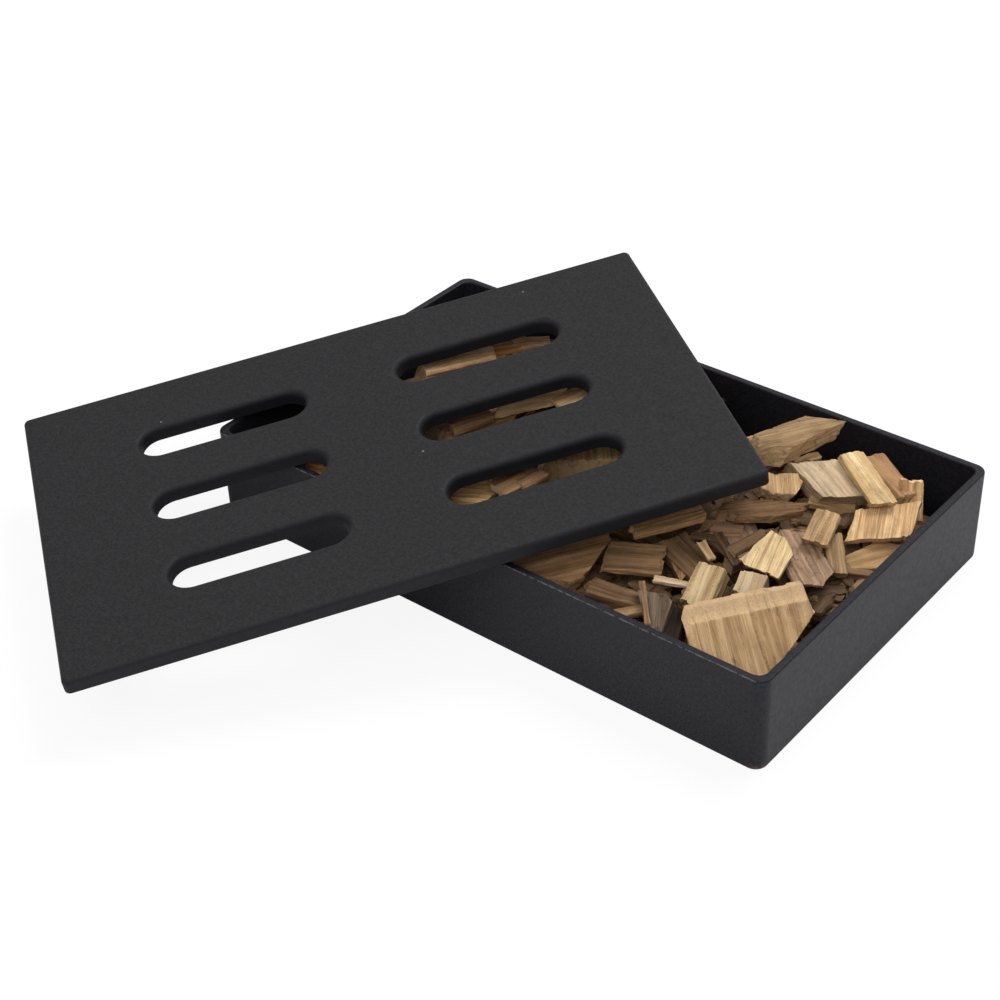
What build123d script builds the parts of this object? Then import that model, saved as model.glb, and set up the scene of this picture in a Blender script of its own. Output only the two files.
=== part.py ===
from build123d import *
import math
import os

# Grill smoker box: a cast-iron tray, a slotted cast-iron lid and the wood chips that the tray holds.
# Millimetres. The origin is the centre of the tray's flat underside, X runs along the tray, +Z is up.
# The lid lies askew: one corner of the tray's rim and the heaped chips carry it.

# Tray
TRAY_LENGTH = 208
TRAY_WIDTH = 126
TRAY_HEIGHT = 32
TRAY_WALL = 2.5
TRAY_FLOOR = 3
TRAY_CORNER = 4
TRAY_INNER_CORNER = 3
TRAY_FLOOR_FILLET = 2
TRAY_RIM_EDGE = 0.6
TRAY_FOOT_EDGE = 1

# Lid
LID_LENGTH = 209
LID_WIDTH = 129
LID_THICKNESS = 5
LID_CORNER = 2
LID_TOP_EDGE = 1.5
LID_UNDER_EDGE = 0.5

# Slots of the lid: two columns of three
SLOT_LENGTH = 54
SLOT_WIDTH = 13.4
SLOT_EDGE = 2
SLOT_COLUMN_PITCH = 84.8
SLOT_ROW_PITCH = 32.9
SLOT_COLUMNS = 2
SLOT_ROWS = 3

# Where the lid lies: its middle against the tray's middle, its turn, and its two slopes in degrees
LID_BACK_X = 47.4
LID_BACK_Y = 47.7
LID_TURN = 54.2
LID_PITCH = 7.5
LID_ROLL = 3.2

# A usual wood chip, which the shares of the chips that show follow
CHIP_LENGTH = 30
CHIP_WIDTH = 20
CHIP_THICKNESS = 10

# Air between pieces that rest on each other, and between a chip and a wall
SEAT_CLEARANCE = 0.3
WALL_CLEARANCE = 0.6

# Sides below this slope count as upright
UPRIGHT = 1e-6

# Outlines of the chips, seen square to their broad face, as shares of their length and width
OUTLINE_SHARES = {
    "plank": ((-0.50, -0.44), (0.45, -0.50), (0.50, 0.46), (-0.46, 0.50)),
    "lozenge": ((-0.50, -0.50), (0.26, -0.42), (0.50, 0.50), (-0.28, 0.44)),
    "blunt": ((-0.50, -0.20), (-0.30, -0.50), (0.42, -0.46), (0.50, 0.10), (0.30, 0.50), (-0.38, 0.42)),
    "spear": ((-0.50, -0.22), (-0.18, -0.50), (0.50, -0.06), (0.12, 0.50), (-0.46, 0.30)),
    "flag": ((-0.20, -0.42), (0.50, -0.50), (0.30, 0.42), (-0.50, 0.50)),
    "lens": (
        (-0.50, 0.10), (-0.28, -0.30), (0.10, -0.50), (0.42, -0.36), (0.50, -0.06), (0.00, 0.46), (-0.38, 0.46),
    ),
    "gem": ((-0.50, -0.16), (0.20, -0.50), (0.34, -0.34), (0.50, 0.42), (-0.08, 0.50), (-0.40, 0.22)),
    "fin": ((-0.50, 0.36), (-0.26, -0.26), (-0.04, -0.50), (0.12, -0.46), (0.48, 0.22), (0.50, 0.50)),
    "tooth": ((-0.50, -0.50), (0.36, -0.10), (0.50, 0.30), (-0.24, 0.50), (-0.42, 0.30)),
    "corner": (
        (-0.50, -0.44), (-0.38, -0.49), (0.03, -0.50), (0.48, -0.32), (0.50, -0.10), (-0.17, 0.47), (-0.50, 0.44),
    ),
}

# Each chip: outline, (length, width, thickness), (x, y), (turn, pitch, roll) and slant.
# Places are shares of half the tray's inside, angles are in degrees, and the slant is the lean of the
# cut ends against the thickness. The chips of the two hidden layers fill the tray, so their sizes are
# shares of its inside length, its inside width and its height.
FLOOR_CHIP_SHARES = (
    ("plank", (0.192, 0.289, 0.24), (-0.53, -0.68), (2, 0, 0), 0.3),
    ("blunt", (0.185, 0.273, 0.23), (-0.53, 0.00), (-3, 0, 0), -0.3),
    ("lozenge", (0.192, 0.281, 0.25), (-0.53, 0.68), (1, 0, 0), 0.3),
    ("lozenge", (0.185, 0.281, 0.23), (-0.10, -0.68), (-2, 0, 0), 0.3),
    ("plank", (0.192, 0.273, 0.24), (-0.10, 0.00), (3, 0, 0), -0.3),
    ("blunt", (0.185, 0.281, 0.25), (-0.10, 0.68), (-2, 0, 0), 0.2),
    ("blunt", (0.192, 0.289, 0.24), (0.34, -0.68), (2, 0, 0), 0.3),
    ("plank", (0.185, 0.273, 0.23), (0.34, 0.00), (-3, 0, 0), 0.3),
    ("lozenge", (0.192, 0.281, 0.25), (0.34, 0.68), (2, 0, 0), -0.3),
    ("plank", (0.163, 0.264, 0.40), (0.76, -0.64), (-2, 0, 0), 0.2),
    ("blunt", (0.192, 0.273, 0.24), (0.77, 0.00), (3, 0, 0), 0.3),
    ("plank", (0.185, 0.281, 0.25), (0.77, 0.68), (-2, 0, 0), 0.3),
)

MIDDLE_CHIP_SHARES = (
    ("lozenge", (0.185, 0.281, 0.26), (-0.54, -0.66), (3, 1, 0), 0.3),
    ("plank", (0.185, 0.273, 0.33), (-0.53, 0.02), (-2, 0, 1), 0.3),
    ("blunt", (0.185, 0.273, 0.35), (-0.53, 0.68), (2, -1, 0), 0.3),
    ("plank", (0.185, 0.273, 0.33), (-0.10, -0.66), (-3, 0, 1), 0.3),
    ("blunt", (0.185, 0.281, 0.36), (-0.10, 0.02), (2, 1, 0), 0.3),
    ("lozenge", (0.177, 0.273, 0.37), (-0.10, 0.68), (-2, 0, -1), 0.3),
    ("blunt", (0.185, 0.281, 0.30), (0.34, -0.62), (3, -1, 0), 0.3),
    ("lozenge", (0.185, 0.248, 0.42), (0.34, 0.05), (-2, 1, 0), 0.3),
    ("plank", (0.170, 0.198, 0.36), (0.37, 0.56), (2, 0, 1), 0.3),
    ("plank", (0.074, 0.149, 0.18), (0.66, -0.50), (-2, 0, 0), 0.2),
    ("plank", (0.170, 0.264, 0.36), (0.75, 0.04), (-2, 0, -1), 0.3),
    ("blunt", (0.136, 0.248, 0.35), (0.70, 0.62), (3, 1, 0), 0.2),
)

# The chips that show, from the lowest to the highest, with names that tell them apart.
# Their sizes are shares of the usual chip.
TOP_CHIP_SHARES = {
    "chip_big_near": ("corner", (0.92, 1.95, 0.25), (0.872, -0.696), (-35, -40, 0), 0.6),
    "chip_dark_strip": ("plank", (0.65, 0.25, 0.30), (0.42, -0.76), (15, -4, 0), 0.4),
    "chip_wall_side": ("lozenge", (0.35, 0.30, 1.25), (0.98, -0.05), (80, 0, 0), 0.4),
    "chip_smooth_tan": ("spear", (0.75, 0.50, 0.22), (0.94, 0.21), (62, 0, 6), 0.5),
    "chip_wide_brown": ("fin", (1.10, 0.90, 0.42), (0.23, -0.76), (55, 3, 4), 0.5),
    "chip_grooved_back": ("spear", (0.58, 0.40, 0.55), (0.505, -0.41), (-54, -4, 0), 0.4),
    "chip_grooved": ("plank", (0.60, 0.65, 0.22), (0.405, -0.57), (30, 0, 5), 0.5),
    "chip_grey_bark": ("tooth", (0.55, 0.50, 0.50), (0.58, -0.82), (-60, -15, 6), 0.3),
    "chip_flat_tan": ("flag", (0.75, 1.00, 0.28), (0.89, 0.39), (-66, -3, 3), 0.5),
    "chip_pale_side": ("plank", (0.58, 0.28, 0.38), (0.85, 0.04), (-52, -10, 0), 0.4),
    "chip_bark": ("blunt", (0.90, 0.66, 0.22), (0.80, -0.12), (-38, -5, 0), 0.4),
    "chip_pink": ("plank", (0.34, 0.30, 0.72), (0.55, -0.15), (30, 0, 0), 0.1),
    "chip_curled": ("blunt", (0.45, 0.50, 0.55), (0.54, 0.34), (20, 0, 8), 0.5),
    "chip_red_brown": ("plank", (0.48, 0.22, 0.72), (0.635, -0.18), (75, 5, 0), 0.3),
    "chip_cream_stripe": ("lozenge", (0.85, 0.75, 0.80), (0.65, 0.53), (-29, -5, 4), 0.6),
    "chip_upright_sliver": ("plank", (0.50, 0.33, 0.60), (0.87, 0.735), (130, 65, 0), 0.1),
    "chip_ribbed": ("plank", (0.80, 0.52, 0.22), (0.395, -0.28), (57, 3, 0), 0.5),
    "chip_short_pale": ("plank", (0.30, 0.40, 0.88), (0.749, -0.436), (-74, -15, 0), 0.1),
    "chip_upright_yellow": ("plank", (0.52, 0.42, 0.80), (0.649, -0.571), (-76, -20, 0), 0.2),
    "chip_long_fibrous": ("lens", (1.00, 0.55, 0.30), (0.60, 0.03), (42, 3, -3), 0.5),
    "chip_yellow_stick": ("plank", (0.90, 0.38, 0.28), (0.77, 0.56), (-34, -5, 5), 0.5),
    "chip_yellow_tan": ("gem", (0.64, 0.70, 0.22), (0.73, -0.24), (-75, -8, 4), 0.5),
    "chip_light_tan": ("plank", (0.52, 0.38, 0.32), (0.795, 0.06), (-74, -6, 0), 0.5),
    "chip_back_slab": ("spear", (1.05, 0.60, 0.75), (0.50, 0.61), (54, 4, 8), 0.5),
    "chip_slot_left_end": ("lozenge", (0.60, 0.60, 0.75), (-0.66, -0.93), (20, 0, 0), 0.4),
    "chip_slot_low_tan": ("lozenge", (0.70, 0.70, 0.78), (-0.19, -0.62), (30, 0, 0), 0.5),
    "chip_slot_low_big": ("plank", (0.90, 0.75, 1.04), (0.00, -0.07), (35, 4, 0), 0.5),
    "chip_slot_low_brown": ("blunt", (0.55, 0.55, 0.22), (-0.10, -0.44), (60, 0, 4), 0.5),
    "chip_slot_mid_brown": ("plank", (0.90, 0.80, 0.88), (-0.44, -0.12), (70, 0, 0), 0.5),
    "chip_slot_mid_tan": ("lozenge", (1.00, 0.80, 0.22), (-0.32, 0.20), (50, 4, 0), 0.5),
    "chip_slot_top_salmon": ("plank", (1.00, 0.70, 1.06), (-0.64, 0.20), (60, 4, 0), 0.5),
    "chip_slot_top_brown": ("blunt", (0.70, 0.55, 1.18), (-0.43, 0.64), (30, 0, 0), 0.5),
    "chip_prop": ("plank", (0.90, 0.80, 1.00), (-0.10, 0.50), (20, 30, 0), 0.3),
}

INNER_LENGTH = TRAY_LENGTH - 2 * TRAY_WALL
INNER_WIDTH = TRAY_WIDTH - 2 * TRAY_WALL

LAYER_UNIT = (INNER_LENGTH, INNER_WIDTH, TRAY_HEIGHT)
CHIP_UNIT = (CHIP_LENGTH, CHIP_WIDTH, CHIP_THICKNESS)


def make_tray():
    """An open box with upright walls, one casting."""
    block = extrude(RectangleRounded(TRAY_LENGTH, TRAY_WIDTH, TRAY_CORNER), TRAY_HEIGHT)
    inside = extrude(RectangleRounded(INNER_LENGTH, INNER_WIDTH, TRAY_INNER_CORNER), TRAY_HEIGHT)
    inside = fillet(inside.edges().group_by(Axis.Z)[0], TRAY_FLOOR_FILLET)
    tray = block - Pos(0, 0, TRAY_FLOOR) * inside
    rim = tray.faces().sort_by(Axis.Z)[-1]
    tray = fillet(rim.edges(), TRAY_RIM_EDGE)
    return fillet(tray.faces().sort_by(Axis.Z)[0].edges(), TRAY_FOOT_EDGE)


def make_lid():
    """A flat plate with rounded slots, lying with its underside at height zero."""
    plate = extrude(RectangleRounded(LID_LENGTH, LID_WIDTH, LID_CORNER), LID_THICKNESS)
    slot = extrude(SlotOverall(SLOT_LENGTH, SLOT_WIDTH), LID_THICKNESS)
    for place in GridLocations(SLOT_COLUMN_PITCH, SLOT_ROW_PITCH, SLOT_COLUMNS, SLOT_ROWS):
        plate -= place * slot
    top = plate.faces().sort_by(Axis.Z)[-1]
    plate = fillet(top.outer_wire().edges(), LID_TOP_EDGE)
    top = plate.faces().sort_by(Axis.Z)[-1]
    plate = fillet([edge for wire in top.inner_wires() for edge in wire.edges()], SLOT_EDGE)
    under = plate.faces().sort_by(Axis.Z)[0]
    return fillet(under.outer_wire().edges(), LID_UNDER_EDGE)


def tilt(turn, pitch, roll):
    """A roll about X, then a pitch that lifts the +X end, then a turn about Z."""
    return Rot(0, 0, turn) * Rot(0, -pitch, 0) * Rot(roll, 0, 0)


def corners_of(outline, size, slant, place):
    """Corners of a block's upper and lower broad face, each in the outline's order."""
    length, width, thickness = size
    half = thickness / 2
    lean = slant * half
    upper = [(place * Pos(u * length + lean, v * width, half)).position for u, v in outline]
    lower = [(place * Pos(u * length - lean, v * width, -half)).position for u, v in outline]
    return upper, lower


def rings_of(upper, lower):
    """The faces of a block as rings of corners."""
    sides = [[upper[i - 1], upper[i], lower[i], lower[i - 1]] for i in range(len(upper))]
    return [upper, lower] + sides


def make_block(upper, lower):
    """A convex block of wood between two broad faces."""
    return Solid(Shell([Face(Wire.make_polygon(ring)) for ring in rings_of(upper, lower)]))


def facets(upper, lower):
    """Corners, edges and face planes of a convex block, as plain numbers."""
    middle = sum(upper + lower, Vector()) / (len(upper) + len(lower))
    planes = []
    for ring in rings_of(upper, lower):
        normal = (ring[1] - ring[0]).cross(ring[2] - ring[1])
        if normal.dot(ring[0] - middle) < 0:
            normal = -normal
        planes.append((normal.X, normal.Y, normal.Z, normal.dot(ring[0])))
    pairs = list(zip(upper, lower))
    for ring in (upper, lower):
        pairs += [(ring[i - 1], ring[i]) for i in range(len(ring))]
    corners = [(corner.X, corner.Y) for corner in upper + lower]
    return corners, [(a.X, a.Y, b.X, b.Y) for a, b in pairs], planes


def span(planes, x, y):
    """Lowest and highest point of a convex block on the upright line through x, y, or None."""
    low, high = -math.inf, math.inf
    for a, b, c, d in planes:
        rest = d - a * x - b * y
        if abs(c) < UPRIGHT:
            if rest < -UPRIGHT:
                return None
        elif c > 0:
            high = min(high, rest / c)
        else:
            low = max(low, rest / c)
    return (low, high) if low <= high + UPRIGHT else None


def crossing(first, second):
    """Where two edges cross in plan, or None."""
    ax, ay, bx, by = first
    cx, cy, dx, dy = second
    area = (bx - ax) * (dy - cy) - (by - ay) * (dx - cx)
    if abs(area) < UPRIGHT:
        return None
    along = ((cx - ax) * (dy - cy) - (cy - ay) * (dx - cx)) / area
    across = ((cx - ax) * (by - ay) - (cy - ay) * (bx - ax)) / area
    if 0 <= along <= 1 and 0 <= across <= 1:
        return ax + along * (bx - ax), ay + along * (by - ay)
    return None


def lift_over(over, under):
    """How far one block has to rise to touch another from above, or None if they don't meet in plan."""
    for axis in (0, 1):
        above = [corner[axis] for corner in over[0]]
        below = [corner[axis] for corner in under[0]]
        if max(above) < min(below) or max(below) < min(above):
            return None
    spots = over[0] + under[0]
    for first in over[1]:
        for second in under[1]:
            spots.append(crossing(first, second))
    lifts = []
    for spot in spots:
        above = span(over[2], *spot) if spot else None
        below = span(under[2], *spot) if spot else None
        if above and below:
            lifts.append(below[1] - above[0])
    return max(lifts, default=None)


def inside_walls(share, half, values):
    """A place at a share of the half width, moved so that the values stay clear of both walls."""
    reach = half - WALL_CLEARANCE
    return min(max(share * half, -reach - min(values)), reach - max(values))


def lay_chip(shares, unit, heap):
    """Puts a chip in the tray, inside the walls, down on the floor or the chips under it."""
    outline, size_shares, (x, y), angles, slant = shares
    size = [share * side for share, side in zip(size_shares, unit)]
    upper, lower = corners_of(OUTLINE_SHARES[outline], size, slant, tilt(*angles))
    points = upper + lower
    place_x = inside_walls(x, INNER_LENGTH / 2, [point.X for point in points])
    place_y = inside_walls(y, INNER_WIDTH / 2, [point.Y for point in points])
    shift = Vector(place_x, place_y, -min(point.Z for point in points))
    shape = facets([point + shift for point in upper], [point + shift for point in lower])
    heights = [TRAY_FLOOR] + [lift_over(shape, under) for under in heap]
    shift += Vector(0, 0, max(h for h in heights if h is not None) + SEAT_CLEARANCE)
    upper = [point + shift for point in upper]
    lower = [point + shift for point in lower]
    heap.append(facets(upper, lower))
    return make_block(upper, lower)


def lay_lid(heap):
    """Puts the lid down on the tray's rim at the front left corner, or on any chip that stands higher."""
    place = Pos(-LID_BACK_X, -LID_BACK_Y, 0) * tilt(LID_TURN, LID_PITCH, LID_ROLL)
    corners = ((-0.5, -0.5), (0.5, -0.5), (0.5, 0.5), (-0.5, 0.5))
    size = (LID_LENGTH, LID_WIDTH, LID_THICKNESS)
    plate = facets(*corners_of(corners, size, 0, place * Pos(0, 0, LID_THICKNESS / 2)))
    up_x, up_y, up_z, _ = max(plate[2], key=lambda plane: plane[2])
    steep_x = -up_x / up_z
    steep_y = -up_y / up_z
    steep = math.hypot(steep_x, steep_y)
    rim_x = -TRAY_LENGTH / 2 + TRAY_CORNER - TRAY_CORNER * steep_x / steep
    rim_y = -TRAY_WIDTH / 2 + TRAY_CORNER - TRAY_CORNER * steep_y / steep
    rise = steep_x * (rim_x + LID_BACK_X) + steep_y * (rim_y + LID_BACK_Y)
    heights = [TRAY_HEIGHT - rise] + [lift_over(plate, under) for under in heap]
    return Pos(0, 0, max(h for h in heights if h is not None) + SEAT_CLEARANCE) * place * make_lid()


def main():
    heap = []
    nodes = {"tray": make_tray()}
    for layer, table in (("floor", FLOOR_CHIP_SHARES), ("middle", MIDDLE_CHIP_SHARES)):
        for number, shares in enumerate(table, 1):
            nodes[f"chip_{layer}_{number:02d}"] = lay_chip(shares, LAYER_UNIT, heap)
    for name, shares in TOP_CHIP_SHARES.items():
        nodes[name] = lay_chip(shares, CHIP_UNIT, heap)
    nodes["lid"] = lay_lid(heap)
    os.makedirs("parts", exist_ok=True)
    for name, shape in nodes.items():
        export_step(shape, f"parts/{name}.step")
    return nodes


NODES = main()
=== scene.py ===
# %% [markdown]
# # A cast-iron smoker box with its wood chips
# The box is two rough black castings, an open tray and a slotted lid, and a heap of wood chips. The packed
# model already holds every piece at its real size, so this file only adds what the eye sees: the skin of
# the iron, and the grain, splits and frayed ends of the wood. It starts by loading that model.

# %% Load the frame
import math

import bmesh
import bpy
import numpy as np
from mathutils import Matrix, Vector


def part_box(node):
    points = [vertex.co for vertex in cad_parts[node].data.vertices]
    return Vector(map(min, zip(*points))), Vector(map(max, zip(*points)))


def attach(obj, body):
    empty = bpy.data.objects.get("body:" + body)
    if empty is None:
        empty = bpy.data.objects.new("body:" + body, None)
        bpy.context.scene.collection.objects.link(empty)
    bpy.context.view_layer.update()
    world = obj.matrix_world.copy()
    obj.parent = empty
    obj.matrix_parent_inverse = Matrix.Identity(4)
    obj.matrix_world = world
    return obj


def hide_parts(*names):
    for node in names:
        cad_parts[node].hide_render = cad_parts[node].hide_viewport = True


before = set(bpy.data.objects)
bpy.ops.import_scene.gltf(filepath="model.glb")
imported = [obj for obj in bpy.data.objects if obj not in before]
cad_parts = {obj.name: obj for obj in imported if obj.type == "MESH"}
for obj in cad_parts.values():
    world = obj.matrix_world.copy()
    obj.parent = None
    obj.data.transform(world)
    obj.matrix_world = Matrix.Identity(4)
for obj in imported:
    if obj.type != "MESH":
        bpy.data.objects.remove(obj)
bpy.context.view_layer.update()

MM = 0.001
print("loaded", len(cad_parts), "pieces")

# %% [markdown]
# ## The camera
# The box is seen from above one long side, well to the right, through a longish lens, with the camera
# turned a little. The viewpoint could be found by hand, by moving a camera until the tray's corners fit.
# Here three angles, a place and a lens are written down, and a rotation matrix is built from the angles.

# %% Camera
CAMERA_AROUND = math.radians(40.402)
CAMERA_DOWN = math.radians(35.316)
CAMERA_ROLL = math.radians(-2.307)
CAMERA_EYE = Vector((300.06, -397.83, 366.18)) * MM
LENS = 68.973
SENSOR = 36

camera = bpy.data.objects.new("camera", bpy.data.cameras.new("camera"))
camera.data.lens = LENS
camera.data.sensor_width = SENSOR
camera.data.clip_start = MM
turned = Matrix.Rotation(CAMERA_AROUND, 4, "Z") @ Matrix.Rotation(math.pi / 2 - CAMERA_DOWN, 4, "X")
camera.matrix_world = Matrix.Translation(CAMERA_EYE) @ turned @ Matrix.Rotation(CAMERA_ROLL, 4, "Z")
bpy.context.scene.collection.objects.link(camera)
bpy.context.scene.camera = camera
bpy.context.scene.view_settings.view_transform = "Standard"
print("camera at", [round(value, 3) for value in CAMERA_EYE])

# %% [markdown]
# ## A small helper for node trees
# A material is a graph of nodes. Written out in full, each node takes three or four lines, so a short
# helper adds a node, sets its values and links its inputs in one call. Colours are easier to judge as
# the 0 to 255 values of a picture, while Blender mixes light in linear values, so one function converts.


# %% Node helper
def linear(colour):
    """A 0 to 255 screen colour as Blender's linear colour with alpha, by the sRGB curve."""
    shares = [value / 255 for value in colour]
    return [s / 12.92 if s <= 0.04045 else ((s + 0.055) / 1.055) ** 2.4 for s in shares] + [1]


def add_node(tree, kind, inputs=(), out=0, **settings):
    """Adds a node to a tree, sets it up, fills or links its inputs and returns one of its outputs."""
    node = tree.nodes.new(kind)
    for key, value in settings.items():
        setattr(node, key, value)
    for key, value in dict(inputs).items():
        if isinstance(value, bpy.types.NodeSocket):
            tree.links.new(value, node.inputs[key])
        else:
            node.inputs[key].default_value = value
    return node.outputs[out] if len(node.outputs) else None


print("mid grey is", round(linear((128, 128, 128))[0], 3), "in linear light")

# %% [markdown]
# ## Materials in short calls
# The materials below use the same few nodes again and again: noise, a smooth step, a mix of two colours.
# Each gets a short method of its own, so that a material reads as a recipe.


# %% Material graph
class Graph:
    """The node tree of one material, filled by short calls."""

    def __init__(self, name):
        self.material = bpy.data.materials.new(name)
        self.material.use_nodes = True
        self.tree = self.material.node_tree
        self.tree.nodes.clear()

    def add(self, kind, inputs=(), out=0, **settings):
        """Adds a shader node and returns one of its outputs."""
        return add_node(self.tree, "ShaderNode" + kind, inputs, out, **settings)

    def math(self, operation, *values):
        """One operation on two values."""
        return self.add("Math", enumerate(values), operation=operation)

    def ramp(self, value, low, high, start=0.0, end=1.0):
        """A smooth step of value from low to high, as start to end."""
        ends = {0: value, 1: low, 2: high, 3: start, 4: end}
        return self.add("MapRange", ends, interpolation_type="SMOOTHSTEP")

    def mix(self, factor, first, second, blend="MIX"):
        """The first colour, and more of the second as factor goes to 1."""
        ends = {0: factor, 6: first, 7: second}
        return self.add("Mix", ends, out=2, data_type="RGBA", blend_type=blend)

    def noise(self, where, scale, detail=2.0, rough=0.5, bend=0.0):
        """Smooth noise from 0 to 1."""
        ends = {"Vector": where, "Scale": scale, "Detail": detail, "Roughness": rough, "Distortion": bend}
        return self.add("TexNoise", ends)

    def finish(self, colour, roughness, normal, specular, tint=(1, 1, 1, 1)):
        """Closes the graph with one skin and returns the material."""
        ends = {"Base Color": colour, "Roughness": roughness, "Normal": normal}
        shine = {"Specular IOR Level": specular, "Specular Tint": tint}
        skin = self.add("BsdfPrincipled", {**ends, **shine})
        self.add("OutputMaterial", {"Surface": skin})
        return self.material


print("a material graph has", len([name for name in vars(Graph) if name[0] != "_"]), "short calls")

# %% [markdown]
# ## Cast iron
# The castings have the fine pebbled skin that a sand mould leaves, under a thin black seasoning. A picture
# of iron could be wrapped round them, but it would stretch at the edges. Noise in object coordinates has
# no seams: one fine noise for the sand grain, a slower one for the waves of the casting, and both feed the
# bump, while the colour only shifts a little between two dark greys. The lid's top is grey, and on its
# sides and the insides of its slots near black is painted as shade, so the surface's own slope picks
# between them.

# %% Iron
LID_GREYS = ((20, 20, 22), (38, 38, 40))
TRAY_GREYS = ((20, 20, 23), (37, 37, 41))
# Near black painted as shade on the lid's sloping edges, sides and slot insides
PAINTED_EDGE_SHADE = (25, 25, 29)
SPECK = (112, 110, 106)
SPECK_SPACING = 16 * MM
MOTTLE = 0.9 * MM
SHEEN_PATCH = 1.5 * MM
SAND_GRAIN = 0.5 * MM
SAND_HEIGHT = 0.16 * MM
CAST_WAVE = 4 * MM
WAVE_HEIGHT = 0.2 * MM


def iron_colour(graph, where, greys):
    """The mottled black of seasoned iron, with a few pale grains caught in the skin."""
    mottle = graph.noise(where, 1 / MOTTLE, 4.0, 0.75)
    dark, light = [linear(grey) for grey in greys]
    colour = graph.mix(graph.ramp(mottle, 0.32, 0.7), dark, light)
    spots = graph.add("TexVoronoi", {"Vector": where, "Scale": 1 / SPECK_SPACING, "Randomness": 1.0})
    return graph.mix(graph.ramp(spots, 0.03, 0.015), colour, linear(SPECK))


def iron_bump(graph, where):
    """Sand grain over slow waves, as a surface normal."""
    waves = graph.noise(where, 1 / CAST_WAVE, 2.0)
    grain = graph.noise(where, 1 / SAND_GRAIN, 3.0, 0.65)
    slow = graph.add("Bump", {"Strength": 0.12, "Distance": WAVE_HEIGHT, "Height": waves})
    return graph.add("Bump", {"Strength": 0.5, "Distance": SAND_HEIGHT, "Height": grain, "Normal": slow})


def iron_sheen(graph, where, smoothest, roughest):
    """A roughness that changes a little from patch to patch."""
    return graph.ramp(graph.noise(where, 1 / SHEEN_PATCH, 3.0), 0.3, 0.7, smoothest, roughest)


print("sand grain of", SAND_GRAIN / MM, "mm on waves of", CAST_WAVE / MM, "mm")

# %% [markdown]
# ## The lid's skin
# The normal's upward share tells a level face from a sloping one: it is 1 on the flat top, less on the
# rounded edges and 0 on the sides. A smooth step on it turns the grey of the top into the near black that
# is painted on the edges as shade.

# %% Lid iron
LID_SIDE, LID_TOP = 0.7, 0.965
LID_SHEEN = (0.6, 0.68)
LID_SHINE = 0.24


def lid_iron():
    """Grey on the flat top, and near black painted on the edges as shade."""
    graph = Graph("lid_iron")
    where = graph.add("TexCoord", out=3)
    upward = graph.add("SeparateXYZ", {0: graph.add("TexCoord", out=1)}, out=2)
    flat = graph.ramp(upward, LID_SIDE, LID_TOP)
    # Where the lid slopes, its grey gives way to the painted edge shade
    colour = graph.mix(flat, linear(PAINTED_EDGE_SHADE), iron_colour(graph, where, LID_GREYS))
    sheen = iron_sheen(graph, where, *LID_SHEEN)
    return graph.finish(colour, sheen, iron_bump(graph, where), LID_SHINE)


lid_skin = lid_iron()
print("made the material", lid_skin.name)

# %% [markdown]
# ## A painted rim highlight and a rusty foot
# Along the outer edge of the rim at the front, a broken pale line is painted in as a highlight, and at the
# bottom of the near corner, where the foot stands, the seasoning is rubbed off to rust. The places are
# known, so the material works out how far a point is from each edge and lets a noise break up the line and
# the rust.

# %% Tray iron
# A pale grey painted along the front rim's outer edge as a highlight
RIM_HIGHLIGHT = (92, 90, 88)
RUST = (92, 70, 56)
PURPLE_SHEEN = (0.93, 0.85, 1, 1)
TRAY_SHEEN = (0.46, 0.52)
TRAY_SHINE = 0.205
BREAKUP_SIZE = 1.8 * MM
# How far from an edge the painted rim highlight and the foot's rust start, and how far they are full
RIM_FRONT = (0.4 * MM, 0.25 * MM)
RIM_TOP = (0.45 * MM, 0.3 * MM)
FOOT_HEIGHT = (3.2 * MM, 0.6 * MM)
FOOT_REACH = (5 * MM, 2 * MM)
TRAY_LOW, TRAY_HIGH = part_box("tray")


def tray_iron():
    """Seasoned iron with a painted highlight along the rim at the front and a rusty foot at the near
    corner.
    """
    graph = Graph("tray_iron")
    where = graph.add("TexCoord", out=3)
    x, y, z = graph.add("SeparateXYZ", {0: where}).node.outputs

    def from_low(value, edge, reach):
        return graph.ramp(value, edge + reach[0], edge + reach[1])

    def from_high(value, edge, reach):
        return graph.ramp(value, edge - reach[0], edge - reach[1])

    def product(first, *others):
        for other in others:
            first = graph.math("MULTIPLY", first, other)
        return first

    breakup = graph.noise(where, 1 / BREAKUP_SIZE, 5.0, 0.75)
    front, top = from_low(y, TRAY_LOW.y, RIM_FRONT), from_high(z, TRAY_HIGH.z, RIM_TOP)
    # A broken pale line painted as a highlight along the front rim's outer edge
    highlight = product(front, top, graph.ramp(breakup, 0.36, 0.6))
    colour = graph.mix(highlight, iron_colour(graph, where, TRAY_GREYS), linear(RIM_HIGHLIGHT))
    right, foot = from_high(x, TRAY_HIGH.x, FOOT_REACH), from_low(z, TRAY_LOW.z, FOOT_HEIGHT)
    near = from_low(y, TRAY_LOW.y, FOOT_REACH)
    corner = product(right, foot, near, graph.ramp(breakup, 0.4, 0.55, 0.2, 0.9))
    colour = graph.mix(corner, colour, linear(RUST))
    sheen = iron_sheen(graph, where, *TRAY_SHEEN)
    return graph.finish(colour, sheen, iron_bump(graph, where), TRAY_SHINE, PURPLE_SHEEN)


for node, skin in (("tray", tray_iron()), ("lid", lid_skin)):
    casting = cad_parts[node]
    casting.data.materials.clear()
    casting.data.materials.append(skin)
    print(node, "has", len(casting.data.polygons), "faces and the material", skin.name)

# %% [markdown]
# ## Noise for carving wood
# The chips get their shape by moving points, so the same kind of smooth noise that materials use is needed
# in Python. A small function hashes the corners of a grid and blends between them. It takes all points at
# once as an array, which is hundreds of times faster than asking point by point.

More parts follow.
